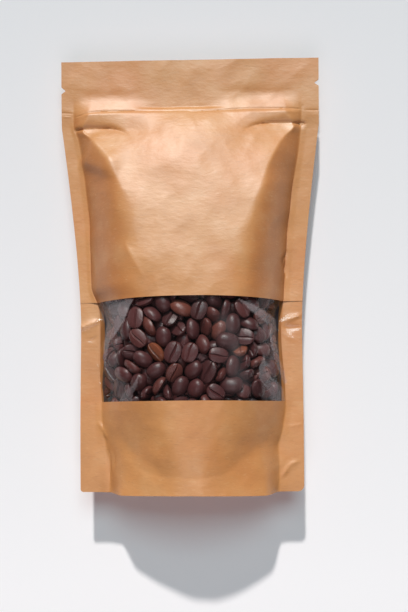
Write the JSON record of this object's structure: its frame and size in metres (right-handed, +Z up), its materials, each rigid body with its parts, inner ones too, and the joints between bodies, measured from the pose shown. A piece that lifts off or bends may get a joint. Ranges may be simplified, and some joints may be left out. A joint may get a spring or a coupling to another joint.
{
  "type": "filled coffee pouch",
  "caption": "Stand-up kraft pouch with side seals, press zip, tear notches and a clear window band, filled with roasted coffee beans and lying on its back.",
  "frame": {"origin": "on the ground under the middle of the pouch, which lies on its back", "axes": "+X across the pouch, +Y from its base to its zip and top edge, +Z up, out of the front with the window"},
  "size_m": [0.13, 0.218, 0.0472],
  "materials": {
    "kraft_paper": "matt brown kraft laminate with fine fibres",
    "clear_film": "clear glossy plastic film",
    "roasted_beans": "dark roasted coffee beans, dry with a slight sheen"
  },
  "bodies": {
    "root": {"front_panel_upper": "kraft_paper", "window_film": "clear_film", "front_panel_lower": "kraft_paper", "back_panel": "kraft_paper", "base_gusset": "kraft_paper", "coffee_beans": "roasted_beans"}
  },
  "joints": []
}
